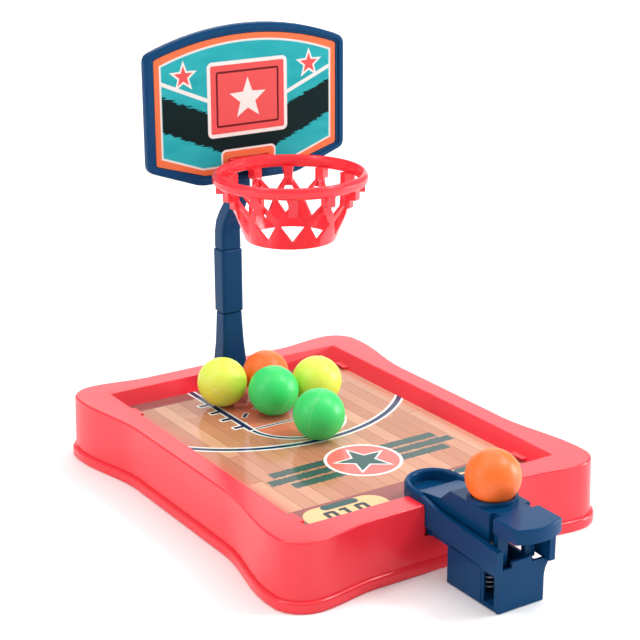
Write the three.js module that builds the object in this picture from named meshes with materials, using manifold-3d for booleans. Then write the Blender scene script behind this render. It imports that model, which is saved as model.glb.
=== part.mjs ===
// Tabletop basketball game: a moulded tray with a printed court card, a hoop on a
// three-piece pole, and a sprung finger launcher that hangs in a notch of the front wall.
// Millimetres, +Z up. +Y points to the hoop, -Y to the player, X = 0 is the plane of symmetry.
// Heights are counted from the surface that the tray stands on.

import * as THREE from 'three';
import { mergeVertices } from 'three/addons/utils/BufferGeometryUtils.js';
import Module from 'manifold-3d';

const wasm = await Module();
wasm.setup();

// Sizes shared by all pieces
const seatGap = 0.3;          // gap left between pieces that touch or plug together
const overrun = 2;            // how far a cutter reaches past what it cuts
const arcSteps = 5;           // steps in a quarter turn of a small rounded corner
const cornerSteps = 4;        // steps in a corner of an extruded outline
const bevelSteps = 2;

// Balls
const ballDiameter = 25;
const orangeBallDiameter = 23.8; // the orange balls are a little smaller
const ballSegments = 22;
const ballRings = 15;
const ventDiameter = 1.4;     // shallow vent ring where the hollow ball was blown
const ventDepth = 0.3;
const ventSides = 8;

// Tray, a shell open underneath
const trayHeight = 31.5;
const traySkin = 1.9;         // outer wall and rim
const trayFloor = 2;          // floor under the card and inner walls
const waistHalf = 78;         // half width at the middle of the long sides
const cornerBulge = 6.3;      // how much wider the tray is at its corners
const endHalf = 103;          // half length at the middle of the short sides
const endCornerBulge = 4;     // how much longer the tray is at its corners
const cornerRadius = 14;
const sideStraight = 42;      // half length of the straight stretch of a long side
const endStraight = 40;       // half length of the straight stretch of a short side
const sideRunOut = 4;         // from where a side is widest to the corner's arc
const footFlange = 2.3;       // how far the foot bead stands out from the rim's edge
const footHeight = 5.4;       // height of the foot bead
const footRound = 1.4;        // rounding of the bead's two edges
const footTuck = 1.4;         // how far the waist is drawn in at the foot
const wallDraft = 0.6;        // how far the outer wall leans out on its way down
const rimRound = 1;           // rounding of the rim's outer edge

// Pocket in the tray that holds the card
const sideLedge = 10.7;       // rim between the pocket and the middle of a long side
const endLedge = 12.1;        // rim between the pocket and the middle of a short side
const cardDrop = 6.4;         // from the rim down to the top of the card
const pocketSlope = 5.5;      // how far the pocket's walls lean in on their way down
const cardThickness = 0.8;
const clipLength = 9;         // small tabs over the card's edge
const clipReach = 2;
const clipThickness = 1.1;
const clipInset = 17;         // from the pocket's end to a clip's middle

// Pole
const poleOffset = 4.4;       // from the pocket's back edge forward to the pole's axis
const postFootWidth = 15.6;
const postFootDepth = 11.8;
const postTopWidth = 11;
const postTopDepth = 9;
const postCorner = 1.6;
const postFootRise = 6.4;     // straight stretch of the foot above the card
const sleeveStart = 33.3;     // heights above the rim
const sleeveEnd = 67;
const sleeveWidth = 12;
const sleeveDepth = 10;
const sleeveWall = 1.7;
const sleeveChamfer = 0.7;
const footPlug = 9;           // how far the foot goes below the card's top
const jointTenonLength = 12;
const socketWall = 2.4;       // wall of the socket boss in the tray
const armWidth = 11.2;
const armDepth = 9.3;
const armTopWidth = 7.4;
const armTopDepth = 5.5;
const armPlug = 27;           // length of the arm's upper end inside the board's socket

// Backboard
const boardHalfWidth = 55.4;
const boardFrontGap = 23.6;   // from the pole's axis forward to the board's front
const boardLow = 107.2;       // heights above the rim
const boardSideLow = 117.4;
const boardSideHigh = 172.5;
const boardTop = 183.6;
const boardLowHalf = 27;      // half width of the level stretch of the lower edge
const boardThickness = 4.8;
const boardCorner = 3.4;
const boardRound = 1.2;
const frameBorder = 4.6;
const ledgeWidth = 1.6;       // lower inner edge of the frame's border
const ledgeDrop = 0.7;
const archSteps = 16;
const archBend = Math.PI / 18;
const panelRecess = 1;        // from the frame's front to the panel's front
const panelThickness = 1;
const armSocketWall = 1.8;
const armSocketRise = 2.2;    // from the hoop's slot up to the arm's socket

// Hoop and net, one moulding
const hoopRadius = 36.8;      // outside of the rim
const hoopTop = 119;          // height above the rim of the tray
const hoopRimHeight = 5.4;
const hoopRimWidth = 3.8;
const hoopSegments = 48;
const netDrop = 32.6;         // from the hoop's top to the net's lower edge
const netLowRadius = 21.6;
const netNeckRadius = 30.6;   // outside of the net where the straps start
const netWall = 1.9;
const strapCount = 12;
const strapWidth = 4.9;
const upperPadRadius = 35.2;
const upperPadHeight = 5;
const lowerPadRadius = 32;
const lowerPadHeight = 4;
const padWidth = 4.3;
const diamondHalfWidth = 5.3;
const bracketWidth = 22.4;
const bracketThickness = 2;
const bracketSlotRise = 0.2;  // from the hoop's top down to the bracket's top
const hoopStandOff = 0.4;     // between the hoop's rim and the board's front

// Launcher: channel, spring box, lever, pin and spring
const channelHalf = 14.1;
const channelWall = 1.8;
const channelFloor = 2;
const channelTop = 1.05;      // height of the channel's top above the rim, at the pivot
const channelDepth = 11.05;   // height of the channel's side walls
const channelFallShare = 0.052; // fall of the channel toward the player, per length
const channelReach = 50.6;    // from the tray's front face to the channel's front end
const channelFloorReach = 15.4; // from the tray's front face to the end of its floor
const spoonRadius = 14.1;     // round end of the channel over the court
const channelSpread = 1.3;    // how much thicker each side wall is at its front end
const spoonReach = 25.1;      // from the tray's front face to the round end
const spoonDepth = 4.4;
const spoonFloor = 1.4;
const beadWidth = 3.1;
const beadRise = 2.4;         // bead of the round end, above the channel's top
const beadRound = 1.5;
const beadRunOut = 9;         // ramp from the bead down to the top of each side wall
const hookWidth = 24;
const hookDrop = 4.7;         // tab under the channel that holds it in the tray's wall
const hookThickness = 3.2;
const keelDrop = 3.6;         // keel between the tray and the box, below the side walls

const pivotReach = 0.1;       // from the tray's front face to the lever's axis
const pivotDrop = 4;          // below the rim
const pinDiameter = 2.4;
const pinClearance = 0.08;
const pinBite = 0.9;          // how far the pin goes into each side wall
const pivotBossRadius = 3.2;
const pivotBossLength = 1.3;

const boxHalf = 12;
const boxStart = 13.4;        // from the tray's front face
const boxEnd = 48.1;
const boxFootGap = 0.3;       // between the box and the surface under the game
const boxWall = 1.6;
const boxSideDrop = 2.8;      // from the channel's side walls down to the box's side walls
const boxFrontLow = 11.7;     // below the rim
const boxFrontHigh = 9.2;
const boxCrenelHalf = 5.3;
const boxShoulderHeight = 8;
const boxPanelDepth = 0.5;
const slotStart = 37.6;       // side window that shows the spring, from the tray's front face
const slotEnd = 44.6;

const leverHalf = 10.7;
const leverTop = 10.4;        // above the rim
const leverWall = 1.6;
const tongueTipReach = 8.9;   // from the tray's front face back over the tray
const tongueTipTop = 2.6;
const tongueThickness = 1.8;
const rampFootReach = 6;
const rampFootTop = 4.8;
const rampTopReach = 12.4;
const blockEnd = 39;
const skirtBottom = 2.5;      // below the rim
const skirtRear = 4.5;        // from the tray's front face back over the tray
const earInner = 5;
const earOuter = 10.4;
const earHalf = 2.6;
const heelHalf = 10.2;
const heelLength = 2.4;
const neckHalf = 8;
const legOuterHalf = 10;
const legStart = 41.4;
const legEnd = 44.1;
const legGapHalf = 4.6;
const legBottom = 12;         // below the rim
const padHalf = 12;
const padStart = 42.9;
const padShoulder = 57.6;
const padEnd = 60.8;
const padThickness = 6.6;
const padRound = 0.6;
const collarOuter = 10.8;
const collarRise = 2;
const cupCentreReach = 27.6;  // from the tray's front face to the ball's centre
const cupCentreRise = 9.8;    // from the lever's top to the ball's centre
const cupBossDrop = 5;
const springSeatRadius = 7.6; // boss under the cup that the spring pushes on
const springSeatDrop = 2;     // from the rim down to the end of that boss

const springRadius = 6.4;     // to the middle of the wire
const springWire = 1;
const springCurls = 12;
const springSteps = 8;
const springSides = 5;
const guideRadius = 5;
const guideLength = 2.5;
const guideSides = 16;

// Places worked out from the sizes
const rim = trayHeight;
const cardTop = rim - cardDrop;
const floorTop = cardTop - cardThickness - seatGap;
const floorBottom = floorTop - trayFloor;
const cornerHalf = waistHalf + cornerBulge;
const endCornerHalf = endHalf + endCornerBulge;
const sideBulge = endCornerHalf - cornerRadius - sideRunOut;
const endBulge = cornerHalf - cornerRadius;
const ballRadius = ballDiameter / 2;
const orangeBallRadius = orangeBallDiameter / 2;
const pocketHalfX = waistHalf - sideLedge;
const pocketHalfY = endHalf - endLedge;
const front = -endHalf;                       // outer face of the tray's front wall
const poleY = pocketHalfY - poleOffset;
const boardFront = poleY - boardFrontGap;
const boardBack = boardFront + boardThickness;
const hoopY = boardFront - hoopStandOff - hoopRadius;
const hoopTopZ = rim + hoopTop;
const netLowZ = hoopTopZ - netDrop;
const hoopRimLowZ = hoopTopZ - hoopRimHeight;
const pivotY = front - pivotReach;
const pivotZ = rim - pivotDrop;
const boxLow = boxFootGap;
const springLowZ = boxLow + boxWall + seatGap;
const legLowZ = rim - legBottom;
const springHighZ = rim - springSeatDrop - seatGap;
const cupY = front - cupCentreReach;
const cupZ = rim + leverTop + cupCentreRise;

// Balls on the court. In ball diameters: right of the middle, and toward the player from the pole
const courtBallShares = [
  { name: 'ball_yellow_left', colour: 0xd9f13c, radius: ballRadius, right: -0.8, forward: 1.06 },
  { name: 'ball_orange_court', colour: 0xff7a33, radius: orangeBallRadius, right: 0.225, forward: 1.055 },
  { name: 'ball_green_back', colour: 0x3fd766, radius: ballRadius, right: -0.195, forward: 2.04 },
  { name: 'ball_yellow_right', colour: 0xd9f13c, radius: ballRadius, right: 0.825, forward: 2.04 },
  { name: 'ball_green_front', colour: 0x3fd766, radius: ballRadius, right: -0.13, forward: 3.59 },
];

// Materials
function plastic(colour, roughness) {
  return new THREE.MeshStandardMaterial({ color: colour, roughness: roughness, metalness: 0 });
}
const coralPlastic = plastic(0xfa505a, 0.38);
const navyPlastic = plastic(0x1b4a78, 0.42);
const printedCard = plastic(0xe6b99a, 0.6);
const printedPanel = plastic(0x35a5ae, 0.45);
const springSteel = new THREE.MeshStandardMaterial({ color: 0xb8bcc2, roughness: 0.3, metalness: 1 });

// Booleans
function solidOf(geometry) {
  const bare = geometry.clone();
  bare.deleteAttribute('normal');
  bare.deleteAttribute('uv');
  const merged = mergeVertices(bare);
  return new wasm.Manifold(new wasm.Mesh({
    numProp: 3,
    vertProperties: new Float32Array(merged.attributes.position.array),
    triVerts: new Uint32Array(merged.index.array),
  }));
}

function geometryOf(solid) {
  const mesh = solid.getMesh();
  const geometry = new THREE.BufferGeometry();
  geometry.setAttribute('position', new THREE.BufferAttribute(new Float32Array(mesh.vertProperties), 3));
  geometry.setIndex(new THREE.BufferAttribute(new Uint32Array(mesh.triVerts), 1));
  geometry.computeVertexNormals();
  return geometry;
}

function join(...geometries) {
  return geometryOf(geometries.map(solidOf).reduce((sum, next) => sum.add(next)));
}

function cut(geometry, ...tools) {
  return geometryOf(tools.map(solidOf).reduce((rest, tool) => rest.subtract(tool), solidOf(geometry)));
}

// A box between two corners
function block(low, high) {
  const size = high.map((value, axis) => value - low[axis]);
  const geometry = new THREE.BoxGeometry(...size);
  geometry.translate(...high.map((value, axis) => (value + low[axis]) / 2));
  return geometry;
}

// A rod along X
function rodX(radius, from, to, y, z, sides = 24) {
  const geometry = new THREE.CylinderGeometry(radius, radius, to - from, sides);
  geometry.rotateZ(Math.PI / 2);
  geometry.translate((from + to) / 2, y, z);
  return geometry;
}

// A rod along Z
function rodZ(radius, from, to, x, y, sides = 40) {
  const geometry = new THREE.CylinderGeometry(radius, radius, to - from, sides);
  geometry.rotateX(Math.PI / 2);
  geometry.translate(x, y, (from + to) / 2);
  return geometry;
}

// A side profile, given as [y, z] points, extruded from -half to +half along X
function sideProfile(points, half) {
  const shape = new THREE.Shape(points.map(([y, z]) => new THREE.Vector2(y, z)));
  const geometry = new THREE.ExtrudeGeometry(shape, { depth: 2 * half, bevelEnabled: false });
  geometry.applyMatrix4(new THREE.Matrix4().makeBasis(
    new THREE.Vector3(0, 1, 0), new THREE.Vector3(0, 0, 1), new THREE.Vector3(1, 0, 0)));
  geometry.translate(-half, 0, 0);
  return geometry;
}

// A front view, given as a Shape in X and Z, extruded from the plane y = back toward -Y
function frontProfile(shape, back, depth) {
  const geometry = new THREE.ExtrudeGeometry(
    shape, { depth: depth, bevelEnabled: false, curveSegments: cornerSteps });
  geometry.rotateX(Math.PI / 2);
  geometry.translate(0, back, 0);
  return geometry;
}

// A closed body through rings of equal point count, each ring level in Z
function loft(rings) {
  const count = rings[0].points.length;
  const positions = [];
  const indices = [];
  for (const ring of rings) {
    for (const point of ring.points) positions.push(point.x, point.y, ring.z);
  }
  for (let level = 0; level < rings.length - 1; level += 1) {
    for (let i = 0; i < count; i += 1) {
      const a = level * count + i;
      const b = level * count + (i + 1) % count;
      indices.push(a, b, b + count, a, b + count, a + count);
    }
  }
  const last = (rings.length - 1) * count;
  for (const [a, b, c] of THREE.ShapeUtils.triangulateShape(rings[0].points, [])) {
    indices.push(a, c, b);
  }
  for (const [a, b, c] of THREE.ShapeUtils.triangulateShape(rings[rings.length - 1].points, [])) {
    indices.push(last + a, last + b, last + c);
  }
  const geometry = new THREE.BufferGeometry();
  geometry.setAttribute('position', new THREE.Float32BufferAttribute(positions, 3));
  geometry.setIndex(indices);
  return geometry;
}

// A rectangle with rounded corners, anticlockwise
function roundedRectangle(halfX, halfY, radius, centreX = 0, centreY = 0, steps = arcSteps) {
  const points = [];
  const corners = [[1, 1], [-1, 1], [-1, -1], [1, -1]];
  corners.forEach(([sx, sy], corner) => {
    for (let i = 0; i <= steps; i += 1) {
      const angle = (corner + i / steps) * Math.PI / 2;
      points.push(new THREE.Vector2(
        centreX + sx * (halfX - radius) + radius * Math.cos(angle),
        centreY + sy * (halfY - radius) + radius * Math.sin(angle)));
    }
  });
  return points;
}

function rectangle(halfX, halfY) {
  return [[1, 1], [-1, 1], [-1, -1], [1, -1]].map(([sx, sy]) => new THREE.Vector2(sx * halfX, sy * halfY));
}

function smooth(t) {
  return t * t * (3 - 2 * t);
}

// The tray's waisted outline, grown outward all round, and drawn in at the waist by tuck
function trayOutline(grow, tuck = 0) {
  const steps = 6;
  const quarter = [];
  const radius = cornerRadius + grow;
  const waist = waistHalf - tuck;
  for (let i = 0; i <= steps; i += 1) {
    const share = i / steps;
    quarter.push([
      waist + (cornerHalf - waist) * smooth(share) + grow,
      sideStraight + (sideBulge - sideStraight) * share,
    ]);
  }
  for (let i = 1; i < steps; i += 1) {
    const angle = i / steps * Math.PI / 2;
    quarter.push([
      cornerHalf - cornerRadius + radius * Math.cos(angle),
      endCornerHalf - cornerRadius + radius * Math.sin(angle),
    ]);
  }
  for (let i = steps; i >= 0; i -= 1) {
    const share = i / steps;
    quarter.push([
      endStraight + (endBulge - endStraight) * share,
      endHalf + (endCornerHalf - endHalf) * smooth(share) + grow,
    ]);
  }
  const mirrored = [...quarter].reverse();
  return [
    ...quarter,
    ...mirrored.map(([x, y]) => [-x, y]),
    ...quarter.map(([x, y]) => [-x, -y]),
    ...mirrored.map(([x, y]) => [x, -y]),
  ].map(([x, y]) => new THREE.Vector2(x, y));
}

// Rings of the rim's rounded edge, as shares of its radius
const rimRingShares = [
  { drop: 1, inset: 0 },
  { drop: 0.4, inset: 0.2 },
  { drop: 0.1, inset: 0.55 },
  { drop: 0, inset: 1 },
];

// Tray
function trayShell() {
  const outside = loft([
    { z: 0, points: trayOutline(footFlange - footRound / 2, footTuck) },
    { z: footRound / 2, points: trayOutline(footFlange, footTuck) },
    { z: footHeight - footRound, points: trayOutline(footFlange, footTuck) },
    { z: footHeight - footRound / 3, points: trayOutline(footFlange - footRound / 3, footTuck) },
    { z: footHeight, points: trayOutline(footFlange - footRound, footTuck) },
    { z: footHeight, points: trayOutline(wallDraft, footTuck) },
    ...rimRingShares.map(({ drop, inset }) => (
      { z: rim - rimRound * drop, points: trayOutline(-rimRound * inset) })),
  ]);
  const inside = loft([
    { z: -overrun, points: trayOutline(wallDraft - traySkin, footTuck) },
    { z: rim - traySkin, points: trayOutline(-traySkin) },
  ]);
  const cardHalfX = pocketHalfX - pocketSlope;
  const cardHalfY = pocketHalfY - pocketSlope;
  const pocketSkin = loft([
    { z: floorBottom, points: rectangle(cardHalfX + trayFloor, cardHalfY + trayFloor) },
    { z: cardTop, points: rectangle(cardHalfX + trayFloor, cardHalfY + trayFloor) },
    { z: rim, points: rectangle(pocketHalfX + trayFloor, pocketHalfY + trayFloor) },
  ]);
  const pocket = loft([
    { z: floorTop, points: rectangle(cardHalfX, cardHalfY) },
    { z: cardTop, points: rectangle(cardHalfX, cardHalfY) },
    { z: rim, points: rectangle(pocketHalfX, pocketHalfY) },
    { z: rim + overrun, points: rectangle(pocketHalfX, pocketHalfY) },
  ]);
  const hollow = cut(inside, pocketSkin, saddleBlock(), poleSocketBoss());
  return join(cut(outside, hollow, pocket, notchCut(), hookSlot(), poleSocketHole()), ...cardClips());
}

// Solid part of the tray around the launcher's notch
const notchHalf = channelHalf + seatGap;
const notchLow = rim + channelTop - channelDepth - seatGap;
const hookLow = notchLow - hookDrop;
function saddleBlock() {
  const low = hookLow - traySkin;
  return block(
    [-notchHalf - traySkin, front - overrun, low],
    [notchHalf + traySkin, -pocketHalfY + traySkin, rim]);
}

function notchCut() {
  const deep = block([-notchHalf, front - overrun, notchLow], [notchHalf, -pocketHalfY, rim + overrun]);
  const shallow = block(
    [-notchHalf, -pocketHalfY - overrun, cardTop],
    [notchHalf, -pocketHalfY + pocketSlope, rim + overrun]);
  return join(deep, shallow);
}

function hookSlot() {
  return block(
    [-notchHalf, front - overrun, hookLow],
    [notchHalf, front + traySkin + seatGap, notchLow + overrun]);
}

// Socket under the pocket's back edge that the pole's foot plugs into
function poleSocketBoss() {
  const halfX = postFootWidth / 2 + seatGap + socketWall;
  const halfY = postFootDepth / 2 + seatGap + socketWall;
  return block(
    [-halfX, poleY - halfY, cardTop - footPlug - seatGap - trayFloor],
    [halfX, poleY + halfY, rim]);
}

function poleSocketHole() {
  return loft([
    poleRing(cardTop - footPlug - seatGap, poleY, postFootWidth + 2 * seatGap, postFootDepth + 2 * seatGap),
    poleRing(rim + overrun, poleY, postFootWidth + 2 * seatGap, postFootDepth + 2 * seatGap),
  ]);
}

// Tabs that hold the card's long edges down
function cardClips() {
  const wallX = pocketHalfX - pocketSlope;
  const clips = [];
  for (const sx of [-1, 1]) {
    for (const sy of [-1, 1]) {
      const y = sy * (pocketHalfY - clipInset);
      const inner = sx * (wallX - clipReach);
      const outer = sx * (wallX + clipThickness);
      clips.push(block(
        [Math.min(inner, outer), y - clipLength / 2, cardTop + seatGap],
        [Math.max(inner, outer), y + clipLength / 2, cardTop + seatGap + clipThickness]));
    }
  }
  return clips;
}

// Printed card on the tray's floor, cut out round the pole's socket
function courtCard() {
  const halfX = pocketHalfX - pocketSlope - seatGap;
  const halfY = pocketHalfY - pocketSlope - seatGap;
  const sheet = block([-halfX, -halfY, cardTop - cardThickness], [halfX, halfY, cardTop]);
  const holeHalfX = postFootWidth / 2 + seatGap;
  const holeHalfY = postFootDepth / 2 + seatGap;
  return cut(sheet, block(
    [-holeHalfX, poleY - holeHalfY, floorTop - overrun],
    [holeHalfX, halfY + overrun, rim]));
}

// Pole
function poleRing(z, y, width, depth, corner = postCorner) {
  return { z: z, points: roundedRectangle(width / 2, depth / 2, corner, 0, y) };
}

const tenonWidth = sleeveWidth - 2 * (sleeveWall + seatGap);
const tenonDepth = sleeveDepth - 2 * (sleeveWall + seatGap);
const tenonCorner = postCorner / 2;
const flareShare = 0.32;       // of the post's taper, left at half its height

function lowerPost() {
  const footZ = cardTop + postFootRise;
  const topZ = rim + sleeveStart - seatGap;
  const flareZ = footZ + (topZ - footZ) / 2;
  const shaft = loft([
    poleRing(cardTop - footPlug, poleY, postFootWidth, postFootDepth),
    poleRing(footZ, poleY, postFootWidth, postFootDepth),
    poleRing(flareZ, poleY,
      postTopWidth + (postFootWidth - postTopWidth) * flareShare,
      postTopDepth + (postFootDepth - postTopDepth) * flareShare),
    poleRing(topZ, poleY, postTopWidth, postTopDepth),
  ]);
  const tenon = loft([
    poleRing(topZ - overrun, poleY, tenonWidth, tenonDepth, tenonCorner),
    poleRing(topZ + jointTenonLength, poleY, tenonWidth, tenonDepth, tenonCorner),
  ]);
  return join(shaft, tenon);
}

function middleSleeve() {
  const low = rim + sleeveStart;
  const high = rim + sleeveEnd;
  const inset = 2 * sleeveChamfer;
  const outside = loft([
    poleRing(low, poleY, sleeveWidth - inset, sleeveDepth - inset),
    poleRing(low + sleeveChamfer, poleY, sleeveWidth, sleeveDepth),
    poleRing(high - sleeveChamfer, poleY, sleeveWidth, sleeveDepth),
    poleRing(high, poleY, sleeveWidth - inset, sleeveDepth - inset),
  ]);
  const bore = loft([
    poleRing(low - overrun, poleY, sleeveWidth - 2 * sleeveWall, sleeveDepth - 2 * sleeveWall, tenonCorner),
    poleRing(high + overrun, poleY, sleeveWidth - 2 * sleeveWall, sleeveDepth - 2 * sleeveWall, tenonCorner),
  ]);
  return cut(outside, bore);
}

// Stations of the arm's bend: share of the height, of the way forward, and of the taper;
// thick is the share by which a leaning stretch is deeper when it is cut level
const armStationShares = [
  { rise: 0, forward: 0, taper: 0, thick: 0 },
  { rise: 0.22, forward: 0, taper: 0.06, thick: 0 },
  { rise: 0.36, forward: 0.08, taper: 0.16, thick: 0.06 },
  { rise: 0.5, forward: 0.3, taper: 0.3, thick: 0.16 },
  { rise: 0.64, forward: 0.56, taper: 0.48, thick: 0.2 },
  { rise: 0.77, forward: 0.8, taper: 0.68, thick: 0.16 },
  { rise: 0.89, forward: 0.96, taper: 0.88, thick: 0.06 },
  { rise: 1, forward: 1, taper: 1, thick: 0 },
];
const armTopY = boardBack + armTopDepth / 2 + 2 * seatGap;
const armBendTop = rim + boardLow - seatGap;
const armSocketLow = hoopTopZ + armSocketRise;

function upperArm() {
  const low = rim + sleeveEnd + seatGap;
  const rings = armStationShares.map(({ rise, forward, taper, thick }) => poleRing(
    low + (armBendTop - low) * rise,
    poleY + (armTopY - poleY) * forward,
    armWidth + (armTopWidth - armWidth) * taper,
    (armDepth + (armTopDepth - armDepth) * taper) * (1 + thick)));
  rings.push(poleRing(armSocketLow + armPlug, armTopY, armTopWidth, armTopDepth));
  const tenon = loft([
    poleRing(low - jointTenonLength, poleY, tenonWidth, tenonDepth, tenonCorner),
    poleRing(low + overrun, poleY, tenonWidth, tenonDepth, tenonCorner),
  ]);
  return join(loft(rings), tenon);
}

// Backboard
function boardShape(inset) {
  const half = boardHalfWidth - inset;
  const sideLow = rim + boardSideLow + inset / 2;
  const sideHigh = rim + boardSideHigh - inset / 2;
  const top = rim + boardTop - inset;
  const low = rim + boardLow + inset;
  const lowHalf = boardLowHalf - inset / 2;
  const rise = top - sideHigh;
  const archRadius = (half * half + rise * rise) / (2 * rise);
  const archAngle = Math.asin(half / archRadius);
  const corners = [[-lowHalf, low], [lowHalf, low], [half, sideLow], [half, sideHigh]];
  for (let i = 1; i < archSteps; i += 1) {
    const angle = archAngle * (1 - 2 * i / archSteps);
    corners.push([archRadius * Math.sin(angle), top - archRadius * (1 - Math.cos(angle))]);
  }
  corners.push([-half, sideHigh], [-half, sideLow]);
  return roundedShape(corners, Math.max(boardCorner - inset / 2, boardRound));
}

// A closed outline whose sharp corners are rounded; arch points bend too little to need it
function roundedShape(corners, radius) {
  const shape = new THREE.Shape();
  const points = corners.map(([x, y]) => new THREE.Vector2(x, y));
  points.forEach((point, i) => {
    const before = points[(i + points.length - 1) % points.length];
    const after = points[(i + 1) % points.length];
    const back = before.clone().sub(point).normalize();
    const ahead = after.clone().sub(point).normalize();
    const bend = Math.PI - Math.acos(THREE.MathUtils.clamp(back.dot(ahead), -1, 1));
    const reach = bend > archBend ? radius : 0;
    const start = point.clone().addScaledVector(back, reach);
    const end = point.clone().addScaledVector(ahead, reach);
    if (i === 0) shape.moveTo(start.x, start.y);
    else shape.lineTo(start.x, start.y);
    if (reach > 0) shape.quadraticCurveTo(point.x, point.y, end.x, end.y);
  });
  return shape;
}

// A board blank with its front and back edges rounded
function roundedSlab(shape, back, thickness, round) {
  const geometry = new THREE.ExtrudeGeometry(shape, {
    depth: thickness - 2 * round,
    curveSegments: cornerSteps,
    bevelThickness: round,
    bevelSize: round,
    bevelOffset: -round,
    bevelSegments: bevelSteps,
  });
  geometry.rotateX(Math.PI / 2);
  geometry.translate(0, back - round, 0);
  return geometry;
}

const slotTop = hoopTopZ - bracketSlotRise + seatGap;
const slotLow = slotTop - bracketThickness - 2 * seatGap;
function bracketSlot() {
  const half = bracketWidth / 2 + seatGap;
  return block([-half, boardFront - overrun, slotLow], [half, boardBack + overrun, slotTop]);
}

function backboardFrame() {
  const slab = roundedSlab(boardShape(0), boardBack, boardThickness, boardRound);
  const ledge = frontProfile(boardShape(frameBorder - ledgeWidth), boardFront + ledgeDrop, boardThickness);
  const recess = frontProfile(
    boardShape(frameBorder), boardFront + panelRecess + panelThickness + seatGap, boardThickness);
  const half = armTopWidth / 2 + seatGap;
  const socketBack = armTopY + armTopDepth / 2 + seatGap;
  const socketHigh = armSocketLow + armPlug + seatGap;
  const socket = block(
    [-half - armSocketWall, boardBack - overrun, armSocketLow],
    [half + armSocketWall, socketBack + armSocketWall, socketHigh + armSocketWall]);
  const bore = block([-half, boardBack + seatGap, armSocketLow - overrun], [half, socketBack, socketHigh]);
  return cut(join(slab, cut(socket, bore)), ledge, recess, bracketSlot());
}

function backboardPanel() {
  const sheet = frontProfile(
    boardShape(frameBorder + seatGap), boardFront + panelRecess + panelThickness, panelThickness);
  return cut(sheet, bracketSlot());
}

// Hoop with its net: a turned shell with windows, pads and a bracket
const diamondMidShare = 0.64;   // heights of the lattice, as shares of the net's drop
const diamondTopShare = 0.325;
const diamondLowShare = 0.88;
const windowShoulderShare = 0.315;
const windowTipShare = 0.53;

function netHeight(share) {
  return hoopTopZ - netDrop * share;
}

function hoopBody() {
  const middle = hoopRadius - hoopRimWidth / 2;
  const round = hoopRimWidth / 4;
  const neckZ = hoopRimLowZ - upperPadHeight;
  const points = [
    [netLowRadius - netWall, netLowZ],
    [netLowRadius, netLowZ],
    [netNeckRadius, neckZ],
    [middle + round / 2, hoopRimLowZ],
    [hoopRadius - round, hoopRimLowZ],
    [hoopRadius, hoopRimLowZ + round],
    [hoopRadius, hoopTopZ - 2 * round],
    [hoopRadius - round, hoopTopZ - round / 2],
    [middle, hoopTopZ],
    [hoopRadius - hoopRimWidth + round, hoopTopZ - round / 2],
    [hoopRadius - hoopRimWidth, hoopTopZ - 2 * round],
    [hoopRadius - hoopRimWidth, hoopRimLowZ + round],
    [middle - netWall + round / 2, hoopRimLowZ],
    [netNeckRadius - netWall, neckZ],
    [netLowRadius - netWall, netLowZ],
  ];
  const geometry = new THREE.LatheGeometry(points.map(([r, z]) => new THREE.Vector2(r, z)), hoopSegments);
  geometry.rotateX(Math.PI / 2);
  return geometry;
}

// A window tool: a shape in tangent and height, run outward along +X
function windowTool(points, angle) {
  const shape = new THREE.Shape(points.map(([t, z]) => new THREE.Vector2(t, z)));
  const geometry = new THREE.ExtrudeGeometry(shape, { depth: hoopRadius, bevelEnabled: false });
  geometry.applyMatrix4(new THREE.Matrix4().makeBasis(
    new THREE.Vector3(0, 1, 0), new THREE.Vector3(0, 0, 1), new THREE.Vector3(1, 0, 0)));
  geometry.translate(netLowRadius / 2, 0, 0);
  geometry.rotateZ(angle);
  return geometry;
}

function upperWindow(angle) {
  const half = hoopRadius * Math.sin(Math.PI / strapCount) - strapWidth / 2 - hoopRimWidth / 4;
  return windowTool([
    [-half, hoopRimLowZ - seatGap],
    [-half, netHeight(windowShoulderShare)],
    [0, netHeight(windowTipShare)],
    [half, netHeight(windowShoulderShare)],
    [half, hoopRimLowZ - seatGap],
  ].reverse(), angle);
}

function diamondWindow(angle) {
  return windowTool([
    [0, netHeight(diamondTopShare)],
    [-diamondHalfWidth, netHeight(diamondMidShare)],
    [0, netHeight(diamondLowShare)],
    [diamondHalfWidth, netHeight(diamondMidShare)],
  ].reverse(), angle);
}

function strapPads(angle) {
  const inner = netNeckRadius - netWall;
  const lowerTop = hoopRimLowZ - upperPadHeight;
  const upper = block(
    [inner, -padWidth / 2, lowerTop],
    [upperPadRadius, padWidth / 2, hoopRimLowZ + seatGap]);
  const lower = block(
    [inner, -padWidth / 2, lowerTop - lowerPadHeight],
    [lowerPadRadius, padWidth / 2, lowerTop]);
  const trim = netBore();
  const pads = cut(join(upper, lower), trim);
  pads.rotateZ(angle);
  return pads;
}

function netBore() {
  const inner = netNeckRadius - netWall / 2;
  const high = hoopRimLowZ + overrun;
  return rodZ(inner, netLowZ, high, 0, 0, hoopSegments);
}

function hoopNet() {
  const pitch = 2 * Math.PI / strapCount;
  const windows = [];
  const pads = [];
  for (let i = 0; i < strapCount; i += 1) {
    windows.push(upperWindow((i + 1 / 2) * pitch), diamondWindow(i * pitch));
    pads.push(strapPads(i * pitch));
  }
  const ring = join(cut(hoopBody(), ...windows), ...pads);
  const bracketTop = hoopTopZ - bracketSlotRise;
  const bracketStart = Math.sqrt(hoopRadius ** 2 - (bracketWidth / 2) ** 2) - hoopRimWidth / 2;
  const bracket = block(
    [-bracketWidth / 2, bracketStart, bracketTop - bracketThickness],
    [bracketWidth / 2, boardBack - hoopY, bracketTop]);
  const hoop = join(ring, bracket);
  hoop.translate(0, hoopY, 0);
  return hoop;
}

// Launcher's channel. It falls toward the player, so it is drawn level and then sheared.
const channelHigh = rim + channelTop;
const channelLow = channelHigh - channelDepth;
const channelFront = front - channelReach;

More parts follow.
